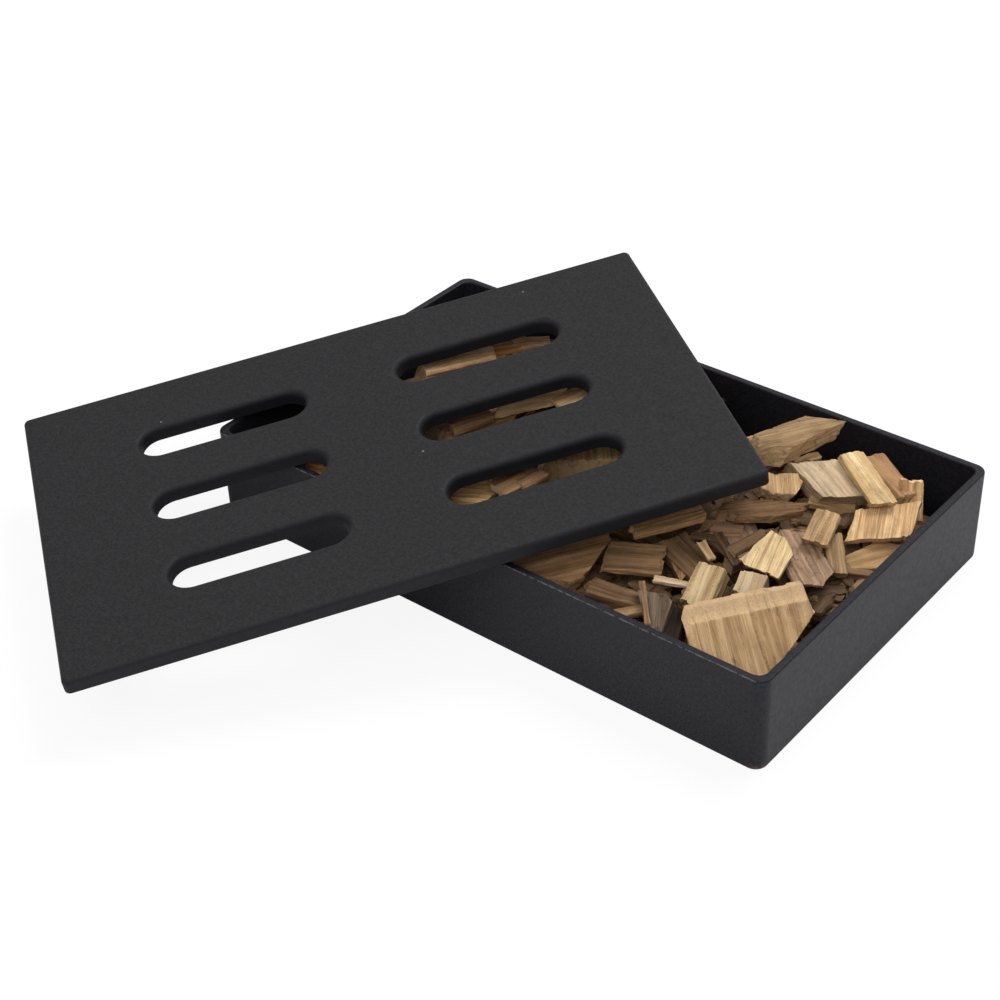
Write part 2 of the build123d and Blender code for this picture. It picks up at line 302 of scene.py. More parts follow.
# %% Noise in Python
HASH_X, HASH_Y, HASH_Z = 73856093, 19349663, 83492791
HASH_SEED = 2654435
HASH_MIX = 1274126177
HASH_RANGE = 65535


def lot(key):
    """A fixed random share from 0 to 1 for each whole number of an array."""
    key = (key ^ (key >> 13)) * HASH_MIX
    return ((key ^ (key >> 16)) & HASH_RANGE) / HASH_RANGE


def strip_lot(strip, step, seed):
    """A fixed random share for each numbered strip, another one for each seed."""
    return lot(strip.astype(np.int64) * step ^ seed * HASH_SEED)


def rough(points, seed):
    """Smooth noise from 0 to 1 at each row of an N by 3 array, the same on every run."""
    cell = np.floor(points).astype(np.int64)
    part = points - cell
    part = part * part * (3 - 2 * part)
    total = np.zeros(len(points))
    for corner in np.ndindex(2, 2, 2):
        x, y, z = (cell + corner).T
        key = x * HASH_X ^ y * HASH_Y ^ z * HASH_Z ^ seed * HASH_SEED
        total += lot(key) * np.where(corner, part, 1 - part).prod(axis=1)
    return total


def folds(points, seed, octaves=3):
    """Noise from 0 to 1 with finer and finer detail."""
    total = sum(rough(points * 2**n, seed + n) / 2**n for n in range(octaves))
    return total / sum(1 / 2**n for n in range(octaves))


def vein(noise, width):
    """1 on the thin lines where a noise passes its middle, and 0 away from them."""
    return np.exp(-((np.abs(noise - 0.5) / width) ** 2))


def rows(*columns):
    """Rows of three from three columns, any of which may be one number."""
    return np.stack(np.broadcast_arrays(*columns), 1).astype(float)


print("noise test", np.round(folds(np.array([[0.2, 0.7, 1.4]]), 1), 3))

# %% [markdown]
# ## From a plain block to a chip
# In the packed model each chip is a flat-sided block. A wood chip is torn rather than cut: its broad faces
# follow the fibres and show ledges, its ends are frayed, and its sides splinter. Sculpting would give that
# too, but there are dozens of chips. So each block is remeshed into small squares, and every point is
# drawn inwards along the grain, across it and through the thickness, by amounts that noise decides. The
# first thing to know about a block is where its flat faces are and which way its grain runs.

# %% Faces and grain
SAME_FACE = 0.9995


def block_planes(mesh):
    """The planes of a convex block, as rows of an outward normal and a distance, and their areas."""
    mesh.calc_loop_triangles()
    planes, areas = [], []
    for triangle in mesh.loop_triangles:
        row = np.array([*triangle.normal, triangle.normal.dot(mesh.vertices[triangle.vertices[0]].co)])
        for i, known in enumerate(planes):
            if known[:3] @ row[:3] > SAME_FACE:
                areas[i] += triangle.area
                break
        else:
            planes.append(row)
            areas.append(triangle.area)
    return np.array(planes), np.array(areas)


def grain_axes(planes, areas, turn):
    """Directions along the grain, across it and up through the broad face, as rows."""
    up = planes[np.argmax(areas * planes[:, 2]), :3]
    flat = np.array([math.cos(math.radians(turn)), math.sin(math.radians(turn)), 0])
    along = flat - (flat @ up) * up
    along /= np.linalg.norm(along)
    return np.array([along, np.cross(up, along), up])


print("grain of a level face at 90 degrees", np.round(grain_axes(np.array([[0, 0, 1, 0]]), [1], 90)[0], 3))

# %% [markdown]
# ## Drawing a surface in
# A point is moved back from the block's skin by a depth, and the points behind it by less and less, so that
# the squares are squeezed together instead of folding over each other. For this each point has to know how
# much room lies between it and the skin in a given direction.

# %% Room and drawing in
FACING = 0.05


def room(points, direction, planes):
    """How far each point is from the block's skin along a direction."""
    facing = planes[:, :3] @ direction
    ahead = planes[facing > FACING]
    gaps = (ahead[:, 3] - points @ ahead[:, :3].T) / (ahead[:, :3] @ direction)
    return np.clip(gaps.min(axis=1), 0, None)


def draw_in(points, direction, planes, depth, reach):
    """Moves points back from the block's skin: by depth at the skin, and by less down to reach."""
    share = np.clip(1 - room(points, direction, planes) / reach, 0, 1)
    return points - direction * (depth * share)[:, None]


SLAB = np.array([[0, 0, 1, 2], [0, 0, -1, 0]])
print("room above the middle of a slab of 2", room(np.array([[0, 0, 1]]), np.array([0, 0, 1]), SLAB))

# %% [markdown]
# ## Points to move
# A block has a dozen corners, and a carved face needs thousands of points. Cutting its faces into a grid
# would leave the corners sharp, while the voxel remesh gives even squares all over and one closed shape.
# The block is first swollen by a hair along its grain and across it, so that the chip keeps its size.


# %% Swell and remesh
def vectors(elements, name):
    """A coordinate list of a mesh as an N by 3 array."""
    values = np.empty(len(elements) * 3, np.float32)
    elements.foreach_get(name, values)
    return values.reshape(-1, 3).astype(float)


def swell(mesh, axes, growth):
    """Makes a block larger by growth along the grain and across it."""
    points = vectors(mesh.vertices, "co")
    middle = points.mean(axis=0)
    local = (points - middle) @ axes.T
    half = np.abs(local).max(axis=0)
    local[:, :2] *= 1 + growth / half[:2]
    mesh.vertices.foreach_set("co", (middle + local @ axes).astype(np.float32).ravel())
    mesh.update()


def remesh(mesh, size):
    """The same closed shape in small squares."""
    block = bpy.data.objects.new("block", mesh)
    bpy.context.scene.collection.objects.link(block)
    modifier = block.modifiers.new("squares", "REMESH")
    modifier.mode = "VOXEL"
    modifier.voxel_size = size
    modifier.use_smooth_shade = True
    result = bpy.data.meshes.new_from_object(block.evaluated_get(bpy.context.evaluated_depsgraph_get()))
    bpy.data.objects.remove(block)
    return result


GROWTH = 0.4 * MM
print("a block grows by", GROWTH / MM, "mm on every side of its broad face")

# %% [markdown]
# ## The torn face
# Every chip is carved with the same tool and its own handful of values: how high and wide its ledges are,
# how deep its cracks and lumps go, whether it is hollowed into a trough. A ledge is where one layer of
# fibres tore off and the next one stayed: a slow rise across the grain, then a sharp drop. The noises are
# stretched along the grain, and the values below say over how many millimetres each of them changes.

# %% Relief of a chip
USUAL = dict(
    ledge=0.3, ledge_width=2.6, fibre=0.16, fray=0.7, tooth=1.8, side=0.3, trough=0.0, lumps=0.0, bevel=0.0,
    cracks=0.25, cut=1.0, painted_side_light=0.0,
)
# Along the grain, across it and through the thickness
LEDGE_RUN = (18, 9, math.inf)
FIBRE_RUN = (7, 0.6, 0.8)
SPLIT_RUN = (40, 2.4, 6)
BARK_RUN = (6, 2.2, 3)
# The same every way
WAVE_RUN = 6
PATCH_RUN = 7
LUMP_RUN = 2.6

LEDGE_WANDER = 0.5
LOWEST_LEDGE = 0.3
LEDGE_LIP = 0.2
LEDGE_SHADE = 0.8
WAVE_SHARE = 1.4
SPLIT_FREE = 0.45
TROUGH_WIDTH = 0.45
SPLIT_WIDTH = 0.02
BARK_CRACK_WIDTH = 0.035


def relief(place, half, look, seed):
    """How deep the torn broad face lies, in millimetres, and how much shade is painted into its creases."""
    across = place[:, 1]
    course = across / look["ledge_width"] + LEDGE_WANDER * rough(place / LEDGE_RUN, seed)
    number = np.floor(course)
    rise = course - number
    height = strip_lot(number, HASH_X, seed)
    depth = look["ledge"] * (LOWEST_LEDGE + height) * rise
    # Shade is painted into the sharp drop of each ledge, and further down into splits and bark cracks
    crease_shade = LEDGE_SHADE * np.clip((rise - (1 - LEDGE_LIP)) / LEDGE_LIP, 0, 1) * height
    depth += look["fibre"] * rough(place / FIBRE_RUN, seed + 5)
    depth += look["fibre"] * WAVE_SHARE * rough(place / WAVE_RUN, seed + 9)
    split = vein(folds(place / SPLIT_RUN, seed + 13), SPLIT_WIDTH)
    split = split * (rough(place / PATCH_RUN, seed + 14) > SPLIT_FREE)
    depth += look["cracks"] * split
    crease_shade += split
    if look["trough"]:
        depth += look["trough"] * np.exp(-((across / half[1] / TROUGH_WIDTH) ** 2))
    if look["lumps"]:
        crack = vein(folds(place / BARK_RUN, seed + 17), BARK_CRACK_WIDTH)
        depth += look["lumps"] * (folds(place / LUMP_RUN, seed + 15) + crack)
        crease_shade += crack
    return depth, np.clip(crease_shade, 0, 1)


STROKE = rows(np.linspace(-12, 12, 400), np.linspace(-8, 8, 400), 0)
print("a usual face is marked", round(relief(STROKE, (12, 8, 2), USUAL, 1)[0].max(), 2), "mm deep")

# %% [markdown]
# ## Frayed ends
# Fibres don't break in one line. A torn end is a row of teeth of uneven length, each as wide as a bundle of
# fibres, with finer tears in them and a slow wave behind them.

# %% Frayed ends
TOOTH_WANDER = 0.8
LONGEST_TOOTH = 1.3
FINE_TEAR = 0.35
SLOW_TEAR = 0.5
# Across the grain and through the thickness
WANDER_RUN = (3, 1.2)
FINE_RUN = (0.5, 0.6)
SLOW_RUN = (5, 3)


def frayed(place, look, seed, end):
    """How far one of the two ends is torn back, in millimetres, in teeth of uneven length."""
    across, through = place[:, 1], place[:, 2]
    wander = rough(rows(through / WANDER_RUN[1], across / WANDER_RUN[0], end), seed)
    strip = np.floor(across / look["tooth"] + TOOTH_WANDER * wander)
    tooth = strip_lot(strip, HASH_Y, seed + 31 * end) ** 2 * LONGEST_TOOTH
    fine = FINE_TEAR * rough(rows(across / FINE_RUN[0], through / FINE_RUN[1], end), seed + 2)
    slow = SLOW_TEAR * rough(rows(across / SLOW_RUN[0], through / SLOW_RUN[1], end), seed + 3)
    return look["fray"] * (tooth + fine + slow)


print("a usual end is torn back", round(frayed(STROKE, USUAL, 1, 0).max(), 2), "mm")

# %% [markdown]
# ## Carving one chip
# The order matters. The broad faces go first, with a sawn bevel at one end where a chip has one, because
# they need the full thickness. Then the ends are torn back and the sides splintered. The place in the
# grain is measured before any point moves, and kept on the mesh, so that every point keeps its stripe of
# the wood wherever it is drawn.

# %% Carve
DEEPEST = 0.8
UNDERSIDE = 0.5
UNDER_REACH = 0.6
LEAST_REACH = 0.6 * MM
BEVEL_SLOPE = 0.55
BEVEL_START = 0.04
SOUND_WOOD = 2
FRAY_ROOT = 2.6
SPLINTER_ROOT = 2
SPLINTER = 1.6
SPLINTER_RUN = (4, 0.9)
LOG_STEP = np.array((7.3, 3.1, 1.7))
LOG_SIZE = np.array((50, 40, 30))


def store(mesh, grain, ends, crease_shade):
    """Keeps what the wood's material reads: the place in the grain, the sawn ends with painted light on
    some chips' sides, and the painted shade of the creases.
    """
    for name, kind, key, values in (
        ("grain", "FLOAT_VECTOR", "vector", grain),
        ("sawn_end_and_painted_light", "FLOAT", "value", ends),
        ("crease_shade", "FLOAT", "value", crease_shade),
    ):
        attribute = mesh.attributes.new(name, kind, "POINT")
        attribute.data.foreach_set(key, values.astype(np.float32).ravel())
    mesh.update()


def carve(block, turn, seed, voxel, **own):
    """A torn chip from a convex block."""
    look = {**USUAL, **own}
    planes, areas = block_planes(block)
    axes = grain_axes(planes, areas, turn)
    along, across, up = axes
    swell(block, axes, GROWTH)
    planes, _ = block_planes(block)
    mesh = remesh(block, voxel)
    points = vectors(mesh.vertices, "co")
    normals = vectors(mesh.vertices, "normal")
    # Sawn ends face along the grain; painted_side_light gives the sides across the grain the same paler
    # colour as painted light
    ends = (normals @ along) ** 2 + look["painted_side_light"] * (normals @ across) ** 2
    place = (points - points.mean(axis=0)) @ axes.T / MM
    half = np.abs(place).max(axis=0)
    thick = room(points, up, planes) + room(points, -up, planes)

    depth, crease_shade = relief(place, half, look, seed)
    if look["bevel"]:
        slope = np.clip(1 - room(points, -along, planes) / MM / look["bevel"], 0, 1)
        depth += BEVEL_SLOPE * look["bevel"] * slope
        ends = np.maximum(ends, slope > BEVEL_START)
    depth = np.minimum(depth * MM, thick * DEEPEST)
    points = draw_in(points, up, planes, depth, np.maximum(thick, LEAST_REACH))
    points = draw_in(points, -up, planes, depth * UNDERSIDE, np.maximum(thick * UNDER_REACH, LEAST_REACH))

    reach = min(half[0], SOUND_WOOD + FRAY_ROOT * look["fray"]) * MM
    for end, way in enumerate((along, -along)):
        points = draw_in(points, way, planes, frayed(place, look, seed + 20, end) * MM, reach)
    lengths, heights = place[:, 0] / SPLINTER_RUN[0], place[:, 2] / SPLINTER_RUN[1]
    tears = rough(rows(lengths, heights, np.sign(place[:, 1])), seed + 27)
    splinter = look["side"] * (SPLINTER * tears)
    reach = min(half[1], SOUND_WOOD + SPLINTER_ROOT * look["side"]) * MM
    for way in (across, -across):
        points = draw_in(points, way, planes, splinter * MM, reach)

    mesh.vertices.foreach_set("co", points.astype(np.float32).ravel())
    store(mesh, place + seed * LOG_STEP % LOG_SIZE, ends, crease_shade)
    return mesh


print("carving takes at most", DEEPEST, "of a chip's thickness")

# %% [markdown]
# ## Wood
# Wood is stripes at three scales: growth bands a few millimetres wide, fibres a fraction of a millimetre
# wide, and short dark pores. All of them are noise that is stretched along the grain, so the material
# reads the grain place stored on the mesh instead of a picture. Each chip comes from another part of
# another branch, so every chip gets a light and a dark tone of its own and its own band width. Sawn ends
# cut across the stripes and are paler, and on one chip its sides get the same paler colour as painted
# light. Shade is painted darker into the creases between ledges and into the cracks.

# %% Wood material
TONES = {
    "cream": ((238, 212, 176), (202, 168, 130)),
    "ivory": ((240, 214, 178), (216, 184, 146)),
    "straw": ((236, 208, 160), (200, 164, 114)),
    "tan": ((216, 180, 134), (168, 130, 88)),
    "honey": ((206, 168, 120), (164, 126, 82)),
    "umber": ((178, 138, 98), (122, 90, 59)),
    "rust": ((172, 134, 100), (118, 86, 60)),
    "shade": ((138, 107, 77), (86, 62, 42)),
    "salmon": ((246, 204, 158), (214, 166, 120)),
    "amber": ((224, 168, 100), (172, 116, 62)),
    "bark": ((168, 138, 112), (122, 96, 74)),
    "grey": ((140, 120, 102), (84, 68, 54)),
}
# Dark brown for the pores, also painted into creases and cracks as shade
PORE_INK_AND_SHADE = (58, 42, 28)
SAWN_LIGHT = (228, 202, 166)
SAWN_DARK = (172, 140, 104)
# Lengths along the grain and across it, in millimetres
BAND_LENGTH = 45
FIBRE = (14, 0.4)
PORE = (2.4, 0.2)
STAIN = (8, 5)
FIBRE_HEIGHT = 0.16 * MM


def wood(name, tone, level=1.0, band=2.0, cut=1.0):
    """Wood of a tone, lighter or darker by level, and at its cuts and painted-light sides by cut, with
    bands of a width in mm.
    """
    light, dark = [linear([level * v for v in colour]) for colour in TONES[tone]]
    fresh = [(a + b) / 2 for a, b in zip(TONES[tone][0], SAWN_LIGHT)]
    sawn_light, sawn_dark = [linear([level * cut * v for v in colour]) for colour in (fresh, SAWN_DARK)]
    graph = Graph("wood_" + name)
    place = graph.add("Attribute", out=1, attribute_name="grain")

    def stretched(along, across, detail=2.0, bend=0.0):
        spot = graph.add("Mapping", {"Vector": place, "Scale": (1 / along, 1 / across, 1 / across)})
        return graph.noise(spot, 1.0, detail, 0.6, bend)

    bands = stretched(BAND_LENGTH, band, 3.0, 0.15)
    fibres = stretched(*FIBRE, 2.5)
    pores = stretched(*PORE, 1.0)
    stains = stretched(*STAIN)
    colour = graph.mix(graph.ramp(bands, 0.3, 0.68), dark, light)
    colour = graph.mix(1.0, colour, graph.ramp(fibres, 0.32, 0.64, 0.8, 1.05), "MULTIPLY")
    colour = graph.mix(graph.ramp(pores, 0.40, 0.26, 0.0, 0.4), colour, linear(PORE_INK_AND_SHADE))
    colour = graph.mix(1.0, colour, graph.ramp(stains, 0.3, 0.6, 0.84, 1.05), "MULTIPLY")
    ends = graph.add("Attribute", out=2, attribute_name="sawn_end_and_painted_light")
    sawn = graph.mix(graph.noise(place, 1.6, 3.0), sawn_dark, sawn_light)
    # The paler sawn colour, on sawn ends and as painted light on the sides where a chip asks for it
    colour = graph.mix(graph.ramp(ends, 0.45, 0.85, 0.0, 0.75), colour, sawn)
    # Creases and cracks are darkened as painted shade
    creases = graph.add("Attribute", out=2, attribute_name="crease_shade")
    colour = graph.mix(graph.ramp(creases, 0.1, 0.9, 0.0, 0.3), colour, linear(PORE_INK_AND_SHADE))
    height = graph.math("ADD", fibres, graph.math("MULTIPLY", pores, 0.5))
    bump = graph.add("Bump", {"Strength": 0.6, "Distance": FIBRE_HEIGHT, "Height": height})
    return graph.finish(colour, 0.8, bump, 0.2)


print(len(TONES), "tones of wood")

# %% [markdown]
# ## The chips that show
# Each chip in the open end of the tray and under the slots is told apart by its colour and by how it
# broke, so each has a row here: the direction of its grain seen from above, its tone and how light that
# is, the width of its bands, and what is special about its surface.

# %% Table of chips
CHIPS = {
    "big_near": (
        -35, "tan", 0.9, 3.2,
        dict(ledge=0.5, ledge_width=4.2, fray=0.35, tooth=2.8, bevel=5.2, cut=1.1),
    ),
    "dark_strip": (15, "umber", 0.8, 1.6, dict(fray=1.2)),
    "wall_side": (80, "umber", 0.8, 1.6, {}),
    "smooth_tan": (62, "honey", 0.87, 4.0, dict(ledge=0.12, fray=0.5, cracks=0)),
    "wide_brown": (55, "umber", 1.02, 3.0, dict(ledge=0.5, ledge_width=3.4)),
    "grooved_back": (-54, "umber", 0.9, 2.0, {}),
    # grooved is darker than its tone, partly as painted shade of the lid's shadow
    "grooved": (30, "umber", 0.82, 1.8, dict(trough=2.2, ledge=0.1, cracks=0)),
    "grey_bark": (-60, "grey", 0.92, 2.4, dict(lumps=0.5, ledge=0.08, fray=0.3, side=0.1, cracks=0)),
    "flat_tan": (-66, "tan", 1.03, 1.6, dict(ledge=0.08, fray=0.6, tooth=1.0, cracks=0.1)),
    "pale_side": (-52, "tan", 0.8, 1.8, dict(ledge=0.3)),
    "bark": (-38, "bark", 1.04, 1.4, dict(lumps=0.2, side=0.4, fray=0.7, ledge_width=1.5, cracks=0.4)),
    "pink": (30, "rust", 0.9, 2.0, {}),
    "curled": (125, "tan", 1.0, 3.0, dict(ledge=0.1, trough=1.2, cracks=0)),
    "red_brown": (75, "shade", 0.9, 1.8, {}),
    "cream_stripe": (
        -29, "ivory", 0.86, 4.2,
        dict(ledge=0.45, ledge_width=4.6, fray=0.7, tooth=2.4, cracks=0.1),
    ),
    "upright_sliver": (130, "tan", 1.18, 1.8, dict(fray=1.6, tooth=2.2, ledge=0.6)),
    "ribbed": (57, "umber", 1.2, 1.4, dict(ledge=0.45, ledge_width=1.6)),
    "short_pale": (-74, "cream", 0.86, 2.4, dict(ledge=0.3, ledge_width=1.8)),
    "upright_yellow": (-76, "straw", 0.84, 2.2, dict(ledge=0.25, fray=0.8)),
    "long_fibrous": (42, "umber", 0.86, 1.6, dict(ledge=0.6, ledge_width=1.8, fray=1.6, tooth=0.9)),
    "yellow_stick": (-34, "straw", 0.99, 3.4, dict(ledge=0.16, side=0.4, cracks=0)),
    "yellow_tan": (-75, "straw", 0.95, 1.3, dict(ledge=0.3, fray=0.7)),
    "light_tan": (-74, "tan", 0.9, 1.8, dict(fray=0.7)),
    # back_slab's sides get the paler sawn colour, raised by cut, as painted light on its shaded front
    "back_slab": (54, "tan", 0.8, 2.0, dict(ledge=0.35, fray=1.2, cut=1.3, painted_side_light=1)),
    "slot_left_end": (20, "amber", 1.1, 2.0, {}),
    "slot_low_tan": (30, "honey", 1.2, 2.0, {}),
    "slot_low_big": (-50, "honey", 0.9, 1.2, dict(ledge=0.5)),
    "slot_low_brown": (60, "rust", 1.2, 2.0, {}),
    "slot_mid_brown": (70, "umber", 1.0, 2.0, {}),
    "slot_mid_tan": (50, "tan", 1.15, 2.2, {}),
    "slot_top_salmon": (60, "salmon", 1.03, 2.6, {}),
    "slot_top_brown": (30, "rust", 1.1, 2.0, {}),
    "prop": (20, "rust", 1.0, 2.0, {}),
}
print(len(CHIPS), "chips to carve")

# %% [markdown]
# ## Carved chips in place
# The block of each chip comes from the packed model, and the carved chip takes its place. A packed mesh
# is loose triangles, so a copy of it has its corners joined first, and the packed one is left alone.

# %% Top chips
VISIBLE_VOXEL = 0.36 * MM
JOINED = 0.01 * MM


def merged_copy(node):
    """A copy of a node's mesh with its loose triangles joined."""
    shape = bmesh.new()
    shape.from_mesh(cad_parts[node].data)
    bmesh.ops.remove_doubles(shape, verts=shape.verts, dist=JOINED)
    mesh = bpy.data.meshes.new(node)
    shape.to_mesh(mesh)
    shape.free()
    return mesh


def place_piece(name, mesh, node, materials):
    """Puts a finished mesh in the scene, and instead of a node of the packed model if one is given."""
    piece = bpy.data.objects.new(name, mesh)
    bpy.context.scene.collection.objects.link(piece)
    mesh.materials.clear()
    for material in materials:
        mesh.materials.append(material)
    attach(piece, "tray_and_chips")
    if node:
        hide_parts(node)


faces = 0
for seed, (name, (turn, tone, level, band, own)) in enumerate(CHIPS.items(), 1):
    node = "chip_" + name
    carved = carve(merged_copy(node), turn, seed, VISIBLE_VOXEL, **own)
    faces += len(carved.polygons)
    skin = wood(name, tone, level, band, {**USUAL, **own}["cut"])
    place_piece("wood_" + name, carved, node, [skin])
print(len(CHIPS), "carved chips with", faces, "faces")

# %% [markdown]
# ## The heap underneath
# Under the chips that show lie two layers that the packed model holds as thick blocks, enough for their
# weight. When the lid is lifted they come into sight, so each block becomes a small pile. Planks are
# laid inside it at random turns and slight tilts, and each is trimmed by the block's own faces.


# %% Trimmed planks
def plank(size, place):
    """A box of a size, turned and moved into place, as an edit mesh."""
    shape = bmesh.new()
    bmesh.ops.create_cube(shape, size=1, matrix=place @ Matrix.Diagonal((*size, 1)))
    return shape


def trim(shape, planes):
    """Cuts off what lies outside the planes and closes the cuts."""
    for x, y, z, distance in planes:
        normal = Vector((x, y, z))
        cut = dict(plane_co=normal * distance, plane_no=normal, clear_outer=True)
        bmesh.ops.bisect_plane(shape, geom=shape.verts[:] + shape.edges[:] + shape.faces[:], **cut)
        bmesh.ops.holes_fill(shape, edges=[edge for edge in shape.edges if edge.is_boundary])


def join(meshes, name):
    """One mesh from several, each keeping its own material number."""
    whole = bmesh.new()
    for number, mesh in meshes:
        start = len(whole.faces)
        whole.from_mesh(mesh)
        whole.faces.ensure_lookup_table()
        for face in whole.faces[start:]:
            face.material_index = number
            face.smooth = True
    result = bpy.data.meshes.new(name)
    whole.to_mesh(result)
    whole.free()
    return result


test_plank = plank((1, 1, 1), Matrix())
trim(test_plank, np.array([[0, 0, 1, 0.25]]))
print("a cube cut at a quarter is", max(corner.co.z for corner in test_plank.verts) + 0.5, "high")
test_plank.free()

# %% [markdown]
# ## Piles
# A pile is as many layers of planks as the block is high, with four planks to a layer. A random number
# source with a fixed seed for each block gives every plank its size, place and turn, so the heap looks
# thrown together and is the same on every run.

# %% Piles
HIDDEN_VOXEL = 0.75 * MM
PILE_TONES = ("umber", "shade", "rust", "honey")
# The hidden piles are darker than their tones, as painted shade in the gaps between the chips
PILE_SHADE_LEVEL = 0.8
PILE_WOODS = [wood("pile_" + tone, tone, PILE_SHADE_LEVEL) for tone in PILE_TONES]
PLANK_SIZE = np.array((26, 13, 4)) * MM
PLANK_SPREAD = (0.8, 1.25)
PLACE_SPREAD = (-0.12, 0.12)
TILT_SPREAD = (-8, 8)
LAYER_PITCH = PLANK_SIZE[2] * 0.85
GRID = (2, 2)


def plank_place(dice, low, high, share, turn):
    """A matrix that puts a plank at a share of a box, turned and slightly tilted."""
    spot = Vector([a + (b - a) * s for a, b, s in zip(low, high, share)])
    tilts = [math.radians(angle) for angle in dice.uniform(*TILT_SPREAD, 2)]
    place = Matrix.Translation(spot) @ Matrix.Rotation(math.radians(turn), 4, "Z")
    return place @ Matrix.Rotation(tilts[0], 4, "X") @ Matrix.Rotation(tilts[1], 4, "Y")


def pile(node, seed):
    """A heap of torn planks in the space of a block."""
    dice = np.random.default_rng(seed)
    planes, _ = block_planes(merged_copy(node))
    low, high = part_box(node)
    layers = max(2, round((high.z - low.z) / LAYER_PITCH))
    parts = []
    for layer, column, row in np.ndindex(layers, *GRID):
        size = PLANK_SIZE * dice.uniform(*PLANK_SPREAD, 3)
        turn = dice.uniform(0, 180)
        share = np.array([(column + 0.5) / GRID[0], (row + 0.5) / GRID[1], (layer + 0.5) / layers])
        share[:2] += dice.uniform(*PLACE_SPREAD, 2)
        shape = plank(size, plank_place(dice, low, high, share, turn))
        trim(shape, planes)
        if len(shape.faces) >= 4:
            mesh = bpy.data.meshes.new("plank")
            shape.to_mesh(mesh)
            torn = carve(mesh, turn, seed + len(parts) * 3, HIDDEN_VOXEL)
            parts.append((int(dice.integers(len(PILE_WOODS))), torn))
        shape.free()
    return join(parts, node)


faces = 0
layers = [name for name in sorted(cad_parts) if name.startswith(("chip_floor", "chip_middle"))]
for seed, node in enumerate(layers, 100):
    heap = pile(node, seed)
    faces += len(heap.polygons)
    place_piece(node.replace("chip", "pile"), heap, node, PILE_WOODS)
print(len(layers), "piles with", faces, "faces")

# %% [markdown]
# ## Small chips between the big ones
# Shorter pieces fill the gaps: a few pale ones, broken bark, some thin curls and the pieces just under the
# slots. Each is given by the two ends of its grain, its width and its thickness in millimetres, so it is
# easy to lay one across two others. A tapered bar is built between the ends and carved like the rest.

# %% Short chips
SHORT_CHIPS = {
    "back_left": ((40, 30, 32), (46, 41, 33), 9, 3, "tan", 1.0),
    "under_cream": ((64, 25, 26), (77, 31, 24), 8, 2.5, "tan", 0.9),
    "behind_stick": ((69, 52, 27), (88, 41, 26), 9, 4, "umber", 1.0),
    "bark_left": ((55, -3, 29), (68, -13, 28), 11, 3, "bark", 0.9),
    "pale_stick": ((52, -40, 29.5), (62, -35, 28.5), 2.6, 1.6, "cream", 0.88),
    "brown_stick": ((49, -55, 24), (57, -45, 25), 3.4, 2.4, "honey", 0.8),
    "right_low_a": ((86, 3, 21), (98, -2, 19), 9, 4, "shade", 0.9),
    "right_low_b": ((86, 1, 25), (97, 7, 23), 8, 3, "rust", 0.8),
    "corner_low": ((87, -16, 22), (98, -11, 20), 9, 4, "shade", 0.9),
    "behind_grooved": ((43, -19, 26), (60, -26, 25), 11, 4, "umber", 0.7),
    "bark_rim": ((49.6, -42.4, 28.6), (61.6, -56.4, 27.6), 1.6, 2, "rust", 0.95),
    # A dark chip beside the grey bark, darkened further as a painted shadow
    "bark_side": ((61, -41, 22.5), (67, -53, 21), 5, 4, "shade", 0.42),
    "left_low": ((36, -49, 24), (52, -45, 23), 7, 4, "umber", 0.7),
    "curl_tan": ((54, -19, 31), (60, -22, 29), 2.6, 1.6, "tan", 0.9),
    "curl_dark": ((52, -14, 30), (64, -17, 28), 2.4, 1.4, "shade", 0.8),
    "curl_brown": ((55, -12, 31), (66, -19, 28), 2.2, 1.4, "shade", 0.7),
    "curl_flat": ((49, -17, 30), (59, -13, 30), 2.6, 1.4, "shade", 0.7),
    "low_slot_dark": ((-7, -38, 34), (-4, -27, 35), 8, 3, "shade", 1.1),
    "low_slot_light": ((-2, -33, 35.5), (0, -24, 36), 5, 2.4, "rust", 0.9),
    "mid_slot_left": ((-43, -18, 33), (-37, -5, 33.5), 8, 3, "umber", 1.0),
    "mid_slot_right": ((-20, 8, 36.5), (-16, 19, 37.5), 8, 2.4, "tan", 1.1),
    "top_slot_salmon": ((-71, 1, 37.2), (-57, 21, 37.8), 13, 2.2, "salmon", 1.03),
    "top_slot_left": ((-74, -7, 28), (-70, 3, 28), 9, 5, "straw", 1.0),
    "top_slot_right": ((-61, 22, 36), (-52, 33, 36.5), 8, 2.6, "amber", 0.9),
    "top_slot_tip": ((-55, 29, 36.5), (-46, 38, 36.5), 6, 2.2, "salmon", 0.9),
}
THIN_VOXEL = 0.3 * MM
SHORT_LOOK = dict(fray=0.5, side=0.2, ledge=0.2)
BAR_PINCH = 0.8


def bar(start, end, width, thickness):
    """A bar between two points, pinched at its far end, and the turn of its grain."""
    start, end = Vector(start) * MM, Vector(end) * MM
    middle, length = (start + end) / 2, (end - start).length
    along = (end - start).normalized()
    across = Vector((0, 0, 1)).cross(along).normalized()
    up = along.cross(across)
    shape = bmesh.new()
    bmesh.ops.create_cube(shape, size=1)
    for corner in shape.verts:
        x, y, z = corner.co
        y *= BAR_PINCH if x > 0 else 1
        corner.co = middle + along * (x * length) + (across * y * width + up * z * thickness) * MM
    mesh = bpy.data.meshes.new("bar")
    shape.to_mesh(mesh)
    shape.free()
    return mesh, math.degrees(math.atan2(along.y, along.x))


faces = 0
for seed, (name, (start, end, width, thickness, tone, level)) in enumerate(SHORT_CHIPS.items(), 60):
    mesh, turn = bar(start, end, width, thickness)
    carved = carve(mesh, turn, seed, THIN_VOXEL, **SHORT_LOOK)
    faces += len(carved.polygons)
    place_piece("short_" + name, carved, None, [wood("short_" + name, tone, level)])
print(len(SHORT_CHIPS), "short chips with", faces, "faces")

